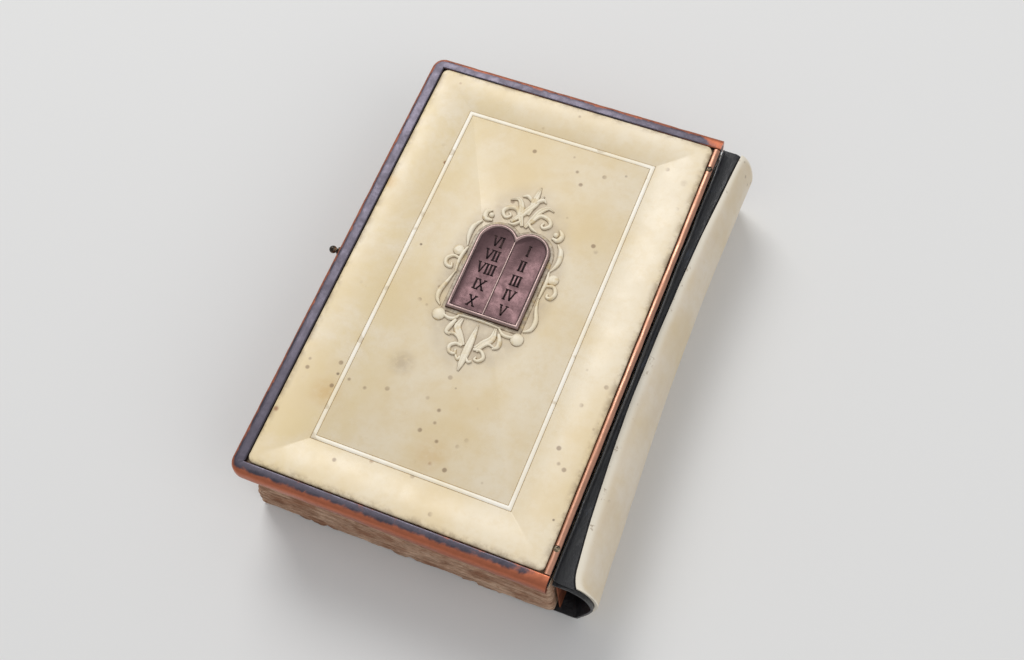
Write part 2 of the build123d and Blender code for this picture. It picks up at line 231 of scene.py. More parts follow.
class Shade:
    """Short way to lay the nodes of one procedural material."""

    def __init__(self, name, color=None, roughness=0.5, metallic=0.0, specular=0.5):
        self.material = bpy.data.materials.new(name)
        self.material.use_nodes = True
        self.nodes = self.material.node_tree.nodes
        self.links = self.material.node_tree.links
        self.shader = self.nodes["Principled BSDF"]
        self.set("Roughness", roughness)
        self.set("Metallic", metallic)
        self.set("Specular IOR Level", specular)
        if color is not None:
            self.set("Base Color", (*color, 1))
        self.place = self.nodes.new("ShaderNodeTexCoord").outputs["Object"]

    def set(self, socket, value):
        self.shader.inputs[socket].default_value = value

    def feed(self, socket, source):
        self.links.new(source, self.shader.inputs[socket])

    def _put(self, socket, value):
        if hasattr(value, "is_linked"):
            self.links.new(value, socket)
        elif isinstance(value, (tuple, list)) and len(value) == 3 and socket.type == "RGBA":
            socket.default_value = (*value, 1)
        else:
            socket.default_value = value

    def stretched(self, scale=(1, 1, 1), turn=(0, 0, 0), move=(0, 0, 0)):
        """Object coordinates scaled, turned or moved."""
        node = self.nodes.new("ShaderNodeMapping")
        self.links.new(self.place, node.inputs["Vector"])
        node.inputs["Scale"].default_value = scale
        node.inputs["Rotation"].default_value = turn
        node.inputs["Location"].default_value = move
        return node.outputs["Vector"]

    def noise(self, scale, detail=4.0, rough=0.55, twist=0.0, on=None):
        """Soft cloudy pattern, 0 to 1."""
        node = self.nodes.new("ShaderNodeTexNoise")
        self.links.new(on or self.place, node.inputs["Vector"])
        node.inputs["Scale"].default_value = scale
        node.inputs["Detail"].default_value = detail
        node.inputs["Roughness"].default_value = rough
        node.inputs["Distortion"].default_value = twist
        return node.outputs["Fac"]

    def cells(self, scale, feature="F1", on=None, output="Distance"):
        """Distance to scattered points."""
        node = self.nodes.new("ShaderNodeTexVoronoi")
        node.feature = feature
        self.links.new(on or self.place, node.inputs["Vector"])
        node.inputs["Scale"].default_value = scale
        return node.outputs[output]

    def step(self, value, low, high, to_low=0.0, to_high=1.0):
        """Smooth ramp from to_low at low to to_high at high."""
        node = self.nodes.new("ShaderNodeMapRange")
        node.interpolation_type = "SMOOTHSTEP"
        self._put(node.inputs["Value"], value)
        node.inputs["From Min"].default_value = low
        node.inputs["From Max"].default_value = high
        node.inputs["To Min"].default_value = to_low
        node.inputs["To Max"].default_value = to_high
        return node.outputs["Result"]

    def math(self, kind, first, second=0.0):
        node = self.nodes.new("ShaderNodeMath")
        node.operation = kind
        self._put(node.inputs[0], first)
        self._put(node.inputs[1], second)
        return node.outputs["Value"]

    def mix(self, share, first, second, kind="MIX"):
        """Blend of two colours."""
        node = self.nodes.new("ShaderNodeMix")
        node.data_type = "RGBA"
        node.blend_type = kind
        self._put(node.inputs["Factor"], share)
        self._put(node.inputs["A"] if node.inputs["A"].type == "RGBA" else node.inputs[6], first)
        self._put(node.inputs["B"] if node.inputs["B"].type == "RGBA" else node.inputs[7], second)
        return node.outputs[2]

    def axis(self, name):
        """One of the object's own coordinates, in metres."""
        node = self.nodes.new("ShaderNodeSeparateXYZ")
        self.links.new(self.place, node.inputs["Vector"])
        return node.outputs[name]

    def value_of(self, attribute):
        """A number stored on the mesh."""
        node = self.nodes.new("ShaderNodeAttribute")
        node.attribute_name = attribute
        return node.outputs["Fac"]

    def near(self, point, inner, outer):
        """1 within inner of a point, falling to 0 at outer, in millimetres."""
        node = self.nodes.new("ShaderNodeVectorMath")
        node.operation = "DISTANCE"
        self.links.new(self.place, node.inputs[0])
        node.inputs[1].default_value = tuple(MM * v for v in point)
        return self.step(node.outputs["Value"], inner * MM, outer * MM, 1.0, 0.0)

    def bump(self, height, distance, strength=1.0):
        """Raises the surface where height is 1 by distance, in millimetres."""
        node = self.nodes.new("ShaderNodeBump")
        self.links.new(height, node.inputs["Height"])
        node.inputs["Distance"].default_value = distance * MM
        node.inputs["Strength"].default_value = strength
        if self.shader.inputs["Normal"].is_linked:
            self.links.new(self.shader.inputs["Normal"].links[0].from_socket,
                           node.inputs["Normal"])
        self.links.new(node.outputs["Normal"], self.shader.inputs["Normal"])


def linear(red, green, blue):
    """Screen colour, 0 to 255, as the linear colour that a shader takes."""
    screen = np.array([red, green, blue]) / 255
    return tuple(np.where(screen <= 0.04045, screen / 12.92, ((screen + 0.055) / 1.055) ** 2.4))


def cream(name, color, roughness):
    """Aged celluloid: clouded, warmer in places, specked and softly polished."""
    shade = Shade(name, roughness=roughness, specular=0.45)
    clouds = shade.step(shade.noise(45, 5, 0.6), 0.35, 0.7)
    warm = shade.mix(clouds, color, tuple(np.array(color) * (0.93, 0.86, 0.70)))
    fine = shade.step(shade.noise(420, 4, 0.7), 0.42, 0.72)
    base = shade.mix(shade.math("MULTIPLY", fine, 0.35), warm,
                     tuple(np.array(color) * (0.90, 0.82, 0.66)))
    return shade, base


def speckled(shade, base, color, scale, size, amount):
    """Scattered dark specks: the middles of random cells, kept only where a cloud is high."""
    dots = shade.step(shade.cells(scale), size * 0.5, size, 1.0, 0.0)
    where = shade.step(shade.noise(scale * 0.21, 2, 0.5), 0.55, 0.62, 0.0, amount)
    return shade.mix(shade.math("MULTIPLY", dots, where), base, color)


def panel_material(color, stain):
    """Cream cover panel: yellower to the fore edge, dirty at its rim and round the relief."""
    shade, base = cream("cover_panel", color, 0.34)
    x, y = shade.axis("X"), shade.axis("Y")
    to_fore = shade.step(x, 0.002, -0.036)
    cloud = shade.step(shade.noise(70, 6, 0.65, 0.4), 0.38, 0.66)
    yellow = tuple(np.array(color) * (0.93, 0.86, 0.66))
    base = shade.mix(shade.math("MULTIPLY", shade.math("MULTIPLY", to_fore, cloud), 0.85),
                     base, yellow)
    # grey-brown dirt along the bevel
    side = shade.step(shade.math("ABSOLUTE", x), 0.0355, 0.0375)
    end = shade.step(shade.math("ABSOLUTE", y), 0.0571, 0.0591)
    grime = shade.math("MAXIMUM", side, end)
    grime = shade.math("MULTIPLY", grime, shade.step(shade.noise(260, 5, 0.7), 0.40, 0.62))
    base = shade.mix(shade.math("MULTIPLY", grime, 0.55), base, linear(140, 118, 92))
    # grey halo where dirt has gathered round the relief
    across = shade.math("DIVIDE", shade.math("SUBTRACT", x, 0.0004), 0.0158)
    along = shade.math("DIVIDE", shade.math("SUBTRACT", y, 0.0058), 0.0285)
    ring = shade.math("SQRT", shade.math("ADD", shade.math("MULTIPLY", across, across),
                                         shade.math("MULTIPLY", along, along)))
    halo = shade.step(ring, 0.72, 1.06, 1.0, 0.0)
    halo = shade.math("MULTIPLY", halo, shade.step(shade.noise(240, 4, 0.6), 0.3, 0.65, 0.35, 1.0))
    base = shade.mix(shade.math("MULTIPLY", halo, 0.55), base, linear(178, 163, 146))
    # single stains: place, inner and outer radius, strength and colour
    brown, dark, ochre = linear(150, 98, 62), linear(88, 62, 52), linear(214, 176, 112)
    for place, inner, outer, share, tint in (
            ((-25.6, 32.0), 0.25, 0.7, 0.9, brown), ((-21.8, 7.8), 0.2, 0.45, 0.9, dark),
            ((3.6, -44.8), 0.1, 0.7, 0.7, brown), ((3.0, -43.0), 1.0, 6.0, 0.35, ochre),
            ((-27.5, -37.0), 0.5, 5.0, 0.5, ochre), ((-13.0, -23.5), 0.5, 4.5, 0.45, stain),
            ((-26.4, -31.6), 0.1, 0.6, 0.8, dark), ((-36.6, -45.0), 0.2, 1.0, 0.8, brown),
            ((35.4, -47.2), 0.1, 0.45, 0.9, dark), ((-36.8, 22.0), 0.5, 3.0, 0.6, ochre),
            ((19.6, 43.6), 0.1, 0.5, 0.6, dark), ((34.0, 46.5), 0.3, 1.3, 0.35, stain),
            ((1.8, -25.2), 0.1, 0.4, 0.6, dark), ((-9.5, -49.0), 0.1, 0.8, 0.6, brown),
            ((20.0, 20.5), 0.1, 0.9, 0.5, stain), ((-31.5, 56.0), 0.1, 0.6, 0.5, brown)):
        spot = shade.near((*place, PANEL_TOP), inner, outer)
        rough_edge = shade.step(shade.noise(500, 3, 0.7), 0.25, 0.6, 0.25, 1.0)
        spot = shade.math("MULTIPLY", shade.math("MULTIPLY", spot, rough_edge), share)
        base = shade.mix(spot, base, tint)
    base = speckled(shade, base, linear(120, 88, 66), 260, 0.20, 0.6)
    shade.feed("Base Color", base)
    shade.feed("Roughness", shade.step(shade.noise(150, 4, 0.6), 0.3, 0.7, 0.27, 0.42))
    shade.bump(shade.noise(38, 2, 0.4), 0.35, 0.6)
    shade.bump(shade.noise(700, 4, 0.7), 0.012, 0.8)
    return shade.material


def inlay_material(color):
    """Whiter strip let into the panel, with a few hairline breaks."""
    shade, base = cream("inlaid_line", color, 0.36)
    broken = shade.step(shade.noise(210, 2, 0.5), 0.64, 0.67, 0.0, 0.5)
    base = shade.mix(broken, base, linear(196, 178, 148))
    shade.feed("Base Color", base)
    shade.bump(shade.noise(500, 3, 0.6), 0.02, 0.8)
    return shade.material


def relief_material(color):
    """Cream relief, brown low between the raised parts: painted shade of the hollows, and dirt."""
    shade, base = cream("relief", color, 0.42)
    # painted shade: brown where the relief is low, at the foot of each rib and button where shade
    # would gather, together with dirt
    low = shade.step(shade.value_of("relief"), 0.10, 0.62, 1.0, 0.0)
    patchy = shade.step(shade.noise(900, 4, 0.7), 0.30, 0.62, 0.45, 1.0)
    base = shade.mix(shade.math("MULTIPLY", shade.math("MULTIPLY", low, patchy), 0.9),
                     base, linear(122, 98, 76))
    yellow = shade.step(shade.noise(330, 3, 0.6), 0.52, 0.66, 0.0, 0.5)
    base = shade.mix(yellow, base, linear(206, 178, 122))
    shade.feed("Base Color", base)
    shade.bump(shade.noise(1100, 4, 0.65), 0.06, 0.8)
    return shade.material


def aged_metal(name, dark, bright, wear_and_sheen, roughness=0.42, scale=260):
    """Metal with a dark skin, and brighter metal where the named attribute is high: rubbed metal,
    and on the spine strip also a painted highlight.
    """
    shade = Shade(name, roughness=roughness, metallic=1.0)
    cloud = shade.noise(scale, 6, 0.7, 0.3)
    if wear_and_sheen is None:
        share = shade.step(cloud, 0.46, 0.66)
    else:
        lifted = shade.math("ADD", shade.value_of(wear_and_sheen), shade.math("SUBTRACT", cloud, 0.5))
        share = shade.step(lifted, 0.30, 0.62)
    fine = shade.step(shade.noise(scale * 5, 3, 0.7), 0.35, 0.7, 0.75, 1.1)
    base = shade.mix(share, dark, bright)
    base = shade.mix(1.0, base, shade.mix(fine, (0.7, 0.7, 0.7), (1, 1, 1)), "MULTIPLY")
    shade.feed("Base Color", base)
    shade.feed("Roughness", shade.step(cloud, 0.3, 0.7, roughness - 0.10, roughness + 0.12))
    shade.bump(shade.noise(scale * 3, 5, 0.7), 0.03, 0.8)
    shade.bump(shade.noise(scale * 0.5, 2, 0.5), 0.12, 0.5)
    return shade


def leather_material(color):
    """Black crinkled leather, shinier on the ridges, with a painted bluish reflection on them."""
    shade = Shade("black_leather", color, 0.38, specular=0.6)
    grain = shade.cells(950, "F1")
    creases = shade.noise(230, 6, 0.75, 1.2, on=shade.stretched((1, 0.45, 1)))
    # painted reflection: bluish grey laid on the crease ridges in place of glints on the glossy
    # black
    wear_and_sheen = shade.step(creases, 0.56, 0.72)
    shade.feed("Base Color", shade.mix(shade.math("MULTIPLY", wear_and_sheen, 0.5), color,
                                       linear(70, 78, 96)))
    shade.feed("Roughness", shade.step(creases, 0.35, 0.7, 0.5, 0.26))
    shade.bump(creases, 0.45, 0.9)
    shade.bump(grain, 0.05, 0.6)
    return shade.material


def paper_material(name, color, edge_color, lines=True):
    """Old paper: the edges of the leaves as fine uneven lines, browner in patches."""
    shade = Shade(name, roughness=0.9, specular=0.1)
    cloud = shade.step(shade.noise(120, 5, 0.7), 0.36, 0.68)
    base = shade.mix(cloud, color, edge_color)
    if lines:
        flat = shade.stretched((1, 1, 26))
        leaf = shade.step(shade.noise(160, 3, 0.8, on=flat), 0.40, 0.60)
        base = shade.mix(shade.math("MULTIPLY", leaf, 0.55), base,
                         tuple(np.array(edge_color) * 0.55))
    spots = shade.step(shade.noise(300, 2, 0.5), 0.66, 0.74, 0.0, 0.6)
    base = shade.mix(spots, base, tuple(np.array(edge_color) * (0.8, 0.6, 0.45)))
    shade.feed("Base Color", base)
    shade.bump(shade.noise(600, 4, 0.7), 0.08, 0.7)
    return shade.material


def cloth_material(name, color):
    """Plain woven tape or cloth: two crossed sets of threads."""
    shade = Shade(name, roughness=0.92, specular=0.1)
    warp = shade.nodes.new("ShaderNodeTexWave")
    shade.links.new(shade.place, warp.inputs["Vector"])
    warp.bands_direction = "Y"
    warp.inputs["Scale"].default_value = 420
    weft = shade.nodes.new("ShaderNodeTexWave")
    shade.links.new(shade.place, weft.inputs["Vector"])
    weft.bands_direction = "Z"
    weft.inputs["Scale"].default_value = 420
    weave = shade.math("MAXIMUM", warp.outputs["Fac"], weft.outputs["Fac"])
    shade.feed("Base Color", shade.mix(weave, tuple(np.array(color) * 0.55), color))
    shade.bump(weave, 0.08, 0.8)
    return shade.material


def board_material(color):
    """Raw pasteboard, fibrous and flecked."""
    shade = Shade("pasteboard", roughness=0.9, specular=0.1)
    fibre = shade.noise(520, 5, 0.75, on=shade.stretched((1, 1, 6)))
    shade.feed("Base Color", shade.mix(fibre, tuple(np.array(color) * 0.6), color))
    shade.bump(fibre, 0.1, 0.8)
    return shade.material


def shell_material(color):
    """Greyer cream than the panel, with a painted highlight along its free edges, and chipped
    there.
    """
    shade, base = cream("spine_celluloid", color, 0.36)
    along = shade.noise(90, 4, 0.6, on=shade.stretched((2.2, 0.35, 1.0)))
    base = shade.mix(shade.step(along, 0.45, 0.7, 0.0, 0.5), base,
                     tuple(np.array(color) * (0.86, 0.80, 0.72)))
    # painted highlight: paler cream along the top edge and the two ends of the shell; the chips
    # below are real wear
    edge = shade.step(shade.value_of("edge"), 0.25, 0.9)
    base = shade.mix(shade.math("MULTIPLY", edge, 0.75), base, linear(240, 233, 218))
    chips = shade.step(shade.noise(340, 4, 0.7), 0.60, 0.68)
    base = shade.mix(shade.math("MULTIPLY", shade.math("MULTIPLY", edge, chips), 0.6), base,
                     linear(150, 128, 100))
    base = speckled(shade, base, linear(110, 88, 70), 300, 0.18, 0.5)
    shade.feed("Base Color", base)
    shade.feed("Roughness", shade.step(shade.noise(140, 4, 0.6), 0.3, 0.7, 0.30, 0.46))
    shade.bump(shade.noise(60, 2, 0.4), 0.3, 0.5)
    return shade.material


# ---------------------------------------------------------------- cover panel

def panel_shape(line_middle, line_width, bevel):
    """Plate lofted through rounded rectangles: side, bevel, top, groove of the line, top."""
    low, high = PANEL_LOW, PANEL_HIGH
    half_x, half_y = high[0], high[1]
    base, top = low[2], high[2]
    groove = line_width / 2 + 0.16
    deep = top - 0.32
    middle_x, middle_y = line_middle
    rings = [(half_x - 0.2, half_y - 0.2, 1.4, base), (half_x, half_y, 1.6, base + 0.2),
             (half_x, half_y, 1.6, top - bevel), (half_x - 0.10, half_y - 0.10, 1.5, top - 0.28),
             (half_x - bevel * 0.6, half_y - bevel * 0.6, 1.3, top - 0.08),
             (half_x - bevel, half_y - bevel, 1.1, top - 0.02),
             (half_x - bevel - 0.4, half_y - bevel - 0.4, 0.9, top)]
    for offset, height in ((groove + 0.05, top), (groove, top - 0.05), (groove - 0.02, deep),
                           (0.02 - groove, deep), (-groove, top - 0.05),
                           (-groove - 0.05, top)):
        rings.append((middle_x + offset, middle_y + offset, 0.12, height))
    return loft([at_height(rounded_rectangle(x, y, radius), z) for x, y, radius, z in rings])


def line_shape(line_middle, line_width):
    """Closed frame: a low domed section carried round the rectangle, mitred at its corners."""
    middle_x, middle_y = line_middle
    half = line_width / 2
    top = PANEL_TOP
    section = [(-half, top - 0.3), (-half, top - 0.04), (-half + 0.07, top + 0.02),
               (0.0, top + 0.035), (half - 0.07, top + 0.02), (half, top - 0.04),
               (half, top - 0.3)]
    loops = [at_height(rounded_rectangle(middle_x + offset, middle_y + offset, 0.1, 2, 20), z)
             for offset, z in section]
    rings = np.stack(loops + [loops[0]])
    count = rings.shape[1]
    faces = [tuple(quad) for quad in grid_faces(len(section), count, wrap=True)]
    last = (len(section) - 1) * count
    around = np.arange(count)
    after = (around + 1) % count
    faces += [tuple(f) for f in np.stack([last + around, last + after, after, around], axis=1)]
    return np.concatenate(loops), faces


# ---------------------------------------------------------------- relief

def swelling(route, height, base, count=22, across=9, crease=0.0):
    """Domed rib along a curve. Route rows are x, y and half width.

    Across the rib the height falls as (1 - s^2) to the power 0.6, less a crease at its
    middle, and along it the height follows the width. The foot is sunk into the ground.
    """
    line = through(route, count)
    spot, half = line[:, :2], np.maximum(line[:, 2], 0.05)
    way = np.gradient(spot, axis=0)
    way /= np.linalg.norm(way, axis=1)[:, None] + 1e-9
    normal = np.stack([-way[:, 1], way[:, 0]], axis=1)
    s = np.linspace(-1, 1, across)
    dome = (1 - s ** 2) ** 0.6 * (1 - crease * np.exp(-(s / 0.28) ** 2))
    rise = height * np.minimum(1, 0.35 + half / max(half.max(), 0.05) * 0.65)
    edge = spot[:, None, :] + normal[:, None, :] * (half[:, None] * s)[:, :, None]
    z = base + rise[:, None] * dome[None, :]
    top = np.concatenate([edge, z[:, :, None]], axis=2)
    foot = np.concatenate([edge[:, [-1, 0]], np.full((count, 2, 1), base - 0.12)], axis=2)
    rings = np.concatenate([top, foot], axis=1)
    share = np.concatenate([np.tile(dome, (count, 1)), np.zeros((count, 2))], axis=1)
    return loft(rings), (share * (rise / height)[:, None]).ravel()


def boss(x, y, radius, height, base, dimple=0.0, around=20):
    """Round button: a flattened dome turned about its middle, with or without a dimple."""
    share = np.array([1.0, 1.0, 0.93, 0.78, 0.55, 0.3, 0.08])
    rise = (1 - share ** 2.6) ** 0.5
    rise = rise - dimple * np.exp(-(share / 0.35) ** 2)
    rise[0] = 0
    angle = np.linspace(0, 2 * np.pi, around, endpoint=False)
    rings = [np.column_stack([x + radius * r * np.cos(angle), y + radius * r * np.sin(angle),
                              np.full(around, base + (height * h if i else -0.12))])
             for i, (r, h) in enumerate(zip(share, rise))]
    return loft(rings), np.repeat(rise, around)


RIBS = (
    # crest: outer leaf, scroll, strap and ear
    ((0.4, 20.9, 0.5), (1.5, 23.6, 0.8), (2.5, 26.4, 0.85), (4.0, 28.0, 0.6), (5.8, 27.4, 0.2)),
    ((1.5, 22.6, 0.4), (3.1, 25.2, 0.6), (5.3, 25.1, 0.65), (6.3, 23.5, 0.6), (5.2, 22.2, 0.5),
     (4.2, 22.9, 0.4), (4.6, 23.6, 0.3)),
    ((1.0, 22.2, 0.4), (2.5, 21.0, 0.5), (3.8, 20.6, 0.25)),
    ((0.2, 28.2, 0.4), (1.9, 29.6, 0.6), (3.2, 29.2, 0.2)),
    ((8.0, 20.2, 0.4), (9.7, 20.2, 0.75), (10.3, 21.8, 0.75), (9.0, 23.0, 0.35)),
    # upper side blade
    ((10.1, 19.2, 0.25), (11.7, 17.2, 0.75), (11.9, 14.2, 0.7), (10.9, 11.2, 0.2)),
    # side scroll and its stem
    ((11.5, 7.3, 0.35), (13.3, 7.7, 0.5), (14.4, 6.3, 0.6), (14.0, 4.6, 0.6), (12.7, 4.5, 0.45),
     (12.7, 5.5, 0.35)),
    ((10.8, 11.2, 0.3), (11.2, 8.6, 0.6), (11.3, 6.0, 0.5), (11.1, 3.6, 0.3)),
    # lower side blade
    ((11.0, 3.8, 0.2), (11.7, 0.6, 0.5), (12.7, -2.4, 0.72), (12.3, -4.8, 0.6),
     (10.9, -6.2, 0.25)),
    # foot: strap, two leaves, rim of the lower leaf and the small scroll
    ((9.2, -8.3, 0.4), (7.7, -8.7, 0.5), (6.3, -8.3, 0.5), (5.2, -7.2, 0.3)),
    ((5.7, -8.5, 0.45), (6.4, -10.4, 0.7), (6.6, -12.1, 0.6), (5.6, -12.8, 0.25)),
    ((4.3, -7.6, 0.4), (4.5, -10.2, 1.0), (3.0, -12.4, 0.95), (1.5, -14.2, 0.6)),
    ((6.2, -12.6, 0.3), (4.4, -12.1, 0.4), (2.9, -13.4, 0.4), (2.3, -14.9, 0.25)),
    ((1.5, -14.6, 0.4), (3.3, -14.3, 0.5), (4.4, -15.6, 0.55), (3.8, -17.0, 0.5),
     (2.6, -16.9, 0.4), (2.7, -16.0, 0.3)),
    ((2.2, -17.4, 0.3), (1.3, -18.1, 0.45), (0.8, -17.2, 0.3)),
)
MIDDLE_RIBS = (
    ((0.0, -8.0, 0.25), (0.0, -11.0, 0.8), (0.0, -14.0, 1.1), (0.0, -16.6, 1.1),
     (0.0, -18.8, 0.85), (0.0, -20.9, 0.3)),
    ((0.0, 24.5, 0.4), (0.1, 28.0, 0.9), (0.2, 31.0, 0.7), (0.3, 33.2, 0.12)),
    ((-3.4, 21.4, 0.45), (-1.4, 24.4, 0.9), (0.5, 27.8, 0.85), (1.9, 31.0, 0.2)),
    ((-5.4, -7.2, 0.25), (0.0, -6.9, 0.3), (5.4, -7.2, 0.25)),
)
BOSSES = ((12.6, 9.5, 1.5, 0.15), (10.3, -8.5, 1.75, 0.0), (8.7, 21.5, 0.75, 0.0))


def tablets_outline(inset):
    """Closed outline of the two round-headed tablets, smaller all round by inset.

    Straight foot and sides, and two arcs that meet in a notch over the middle.
    """
    low, high = PLAQUE_LOW, PLAQUE_HIGH
    middle = (low[0] + high[0]) / 2
    spacing = 4.2
    radius = (high[0] - low[0]) / 2 - spacing - inset
    head = high[1] - (high[0] - low[0]) / 2 + spacing
    foot = low[1] + inset
    notch = math.pi - math.acos(min(1.0, spacing / radius))
    right = np.linspace(0, notch, 22)
    left = np.linspace(math.pi - notch, math.pi, 22)
    side = np.linspace(foot, head, 9)[:-1]
    base = np.linspace(-1, 1, 13)[1:-1]
    return np.concatenate([
        np.column_stack([np.full(8, middle + spacing + radius), side]),
        np.column_stack([middle + spacing + radius * np.cos(right),
                         head + radius * np.sin(right)]),
        np.column_stack([middle - spacing + radius * np.cos(left),
                         head + radius * np.sin(left)])[1:],
        np.column_stack([np.full(8, middle - spacing - radius), side[::-1]]),
        np.column_stack([middle + base * (spacing + radius), np.full(11, foot)]),
    ])


def relief_shape(middle_x, height):
    """Ribs and buttons, mirrored, with a low band round the tablets."""
    parts, share = [], []

    def keep(made):
        parts.append(made[0])
        share.append(made[1])

    base = PANEL_TOP
    for side in (1, -1):
        for number, rib in enumerate(RIBS):
            wobble = 0.12 * np.sin(np.arange(len(rib)) * 2.1 + number * 1.7 + side)
            route = np.array(rib) + np.column_stack([wobble, wobble[::-1], wobble * 0])
            route[:, 0] = middle_x + side * route[:, 0]
            keep(swelling(route, height, base, crease=0.45 if number in (0, 11) else 0.1))
        for x, y, radius, dimple in BOSSES:
            keep(boss(middle_x + side * x, y, radius, height * 0.92, base, dimple))
    for number, rib in enumerate(MIDDLE_RIBS):
        route = np.array(rib) + (middle_x, 0, 0)
        keep(swelling(route, height, base, crease=0.4 if number < 3 else 0))
    band = [(-0.95, -0.12, 0), (-0.95, 0.12, 0.1), (-0.75, 0.28, 0.25), (-0.2, 0.3, 0.25),
            (0.1, 0.28, 0.2), (0.4, -0.12, 0)]
    rings = [at_height(tablets_outline(inset), base + z) for inset, z, _ in band]
    keep((loft(rings), np.repeat([s for _, _, s in band], len(rings[0]))))
    return joined(parts), np.concatenate(share)


# ---------------------------------------------------------------- tablets

def tablets_shape(field_z):
    """Plaque lofted inwards: upright side, round border, then the sunk field."""
    base, top = PLAQUE_LOW[2], PLAQUE_HIGH[2]
    steps = [(0.0, base), (0.0, top - 0.55), (0.08, top - 0.28), (0.28, top - 0.08),
             (0.55, top), (0.8, top - 0.06), (1.0, top - 0.24), (1.1, field_z + 0.04),
             (1.18, field_z)]
    plaque = loft([at_height(tablets_outline(inset), z) for inset, z in steps])
    rubbed = [0, 0.25, 0.6, 0.95, 1.0, 0.8, 0.4, 0.1, 0.1]
    share = np.repeat(rubbed, len(tablets_outline(0)))
    middle = (PLAQUE_LOW[0] + PLAQUE_HIGH[0]) / 2
    foot, head = PLAQUE_LOW[1] + 0.9, PLAQUE_HIGH[1] - 2.4
    bar, bar_share = swelling([(middle, foot, 0.3), (middle, (foot + head) / 2, 0.28),
                               (middle, head, 0.3)], 0.2, field_z)
    return joined([plaque, bar]), np.concatenate([share, bar_share * 0.7])


def bar_between(start, end, width, low, high):
    """Flat-topped bar between two points, with square ends."""
    start, end = np.array(start, float), np.array(end, float)
    way = (end - start) / np.linalg.norm(end - start)
    side = np.array([-way[1], way[0]]) * width / 2
    plan = np.array([start - side, start + side, end + side, end - side])
    return loft([at_height(plan, low), at_height(plan, high)])


def numeral(text, x, y, size, low, high):
    """A Roman numeral of bars with short serifs, centred on x and y."""
    advance = {"I": 0.34 * size, "V": 0.74 * size, "X": 0.74 * size}
    thick, thin, serif = 0.15 * size, 0.09 * size, 0.06 * size
    left = x - sum(advance[letter] for letter in text) / 2
    foot, head = y - size / 2, y + size / 2
    bars = []
    for letter in text:
        width = advance[letter]
        middle, reach = left + width / 2, width * 0.38
        if letter == "I":
            strokes = [((middle, foot), (middle, head), thick)]
            ends = [(middle, foot), (middle, head)]
        elif letter == "V":
            strokes = [((middle - reach, head), (middle, foot), thick),
                       ((middle + reach, head), (middle, foot), thin)]
            ends = [(middle - reach, head), (middle + reach, head)]
        else:
            strokes = [((middle - reach, head), (middle + reach, foot), thick),
                       ((middle + reach, head), (middle - reach, foot), thin)]
            ends = [(middle - reach, head), (middle + reach, head),
                    (middle - reach, foot), (middle + reach, foot)]
        bars += [bar_between(a, b, w, low, high) for a, b, w in strokes]
        bars += [bar_between((ex - thick * 0.95, ey), (ex + thick * 0.95, ey), serif, low, high)
                 for ex, ey in ends]
        left += width
    return bars


# ---------------------------------------------------------------- metalwork

def rim_shape():
    """One section carried round three sides: flat top flange, rounded outside, thin wall.

    The way is a straight tail side, a quarter circle, the fore edge, a quarter circle and
    the head side. Points of the section go in from it along its normal, and the outside
    is dented by a few tenths of a millimetre of smooth noise.
    """
    low, high = RIM_LOW, RIM_HIGH
    radius, reach = 3.5, high[1]
    ends = np.linspace(high[0], low[0] + radius, 90)[:, None]
    tail = np.hstack([ends, np.full_like(ends, -reach)])
    turn = np.radians(np.linspace(270, 180, 14))[1:-1, None]
    arc = np.hstack([np.cos(turn), np.sin(turn)]) * radius + (low[0] + radius, radius - reach)
    side = np.linspace(radius - reach, reach - radius, 130)[:, None]
    fore = np.hstack([np.full_like(side, low[0]), side])
    way = np.concatenate([tail, arc, fore, arc[::-1] * (1, -1), tail[::-1] * (1, -1)])
    tangent = np.gradient(way, axis=0)
    tangent /= np.linalg.norm(tangent, axis=1)[:, None]
    inward = np.stack([tangent[:, 1], -tangent[:, 0]], axis=1)
    top = high[2]
    section = np.array([(1.15, low[2], 0.7), (0.45, low[2], 0.9), (0.12, low[2] + 0.3, 0.95),
                        (0.0, low[2] + 1.1, 0.8), (0.0, low[2] + 2.2, 0.78),
                        (0.12, low[2] + 3.1, 0.85), (0.42, top - 0.42, 0.9),
                        (0.85, top - 0.16, 0.62), (1.4, top - 0.03, 0.34), (2.0, top, 0.16),
                        (2.9, top, 0.12), (3.15, top - 0.02, 0.2), (3.28, top - 0.12, 0.45),
                        (3.32, top - 0.4, 0.1), (3.32, top - 1.2, 0.0),
                        (1.2, top - 1.2, 0.0)])
    wide = 1 + 0.11 * np.abs(inward[:, 0])
    depth = section[None, :, 0] * np.where(section[:, 0] > 1.5, wide[:, None], 1.0)
    length = np.concatenate([[0], np.cumsum(np.linalg.norm(np.diff(way, axis=0), axis=1))])
    dent = 0.10 * surface_noise(length[:, None] + 0 * depth, section[None, :, 1] * 4 + 0 * depth,
                                11, 5, 0.5)
    depth = depth + np.clip(dent, 0, 0.3) * (section[None, :, 0] < 1.5)
    spot = way[:, None, :] + inward[:, None, :] * depth[:, :, None]
    height = np.broadcast_to(section[None, :, 1], depth.shape)
    height = height - 0.05 * np.clip(dent, -0.1, 0.3) * (section[None, :, 0] > 1.2) * 4
    rings = np.concatenate([spot, height[:, :, None]], axis=2)
    # copper shows more along the tail side towards the spine
    tail_side = np.clip(-way[:, 1] / reach, 0, 1) ** 8 * np.clip((way[:, 0] + 30) / 60, 0, 1)
    share = section[None, :, 2] + 0.22 * tail_side[:, None] - 0.16 * np.abs(inward[:, :1])
    near_spine = np.clip((way[:, 0] - 33) / 5, 0, 1)
    share = share + 0.35 * near_spine[:, None]
    return loft(rings), share.ravel()


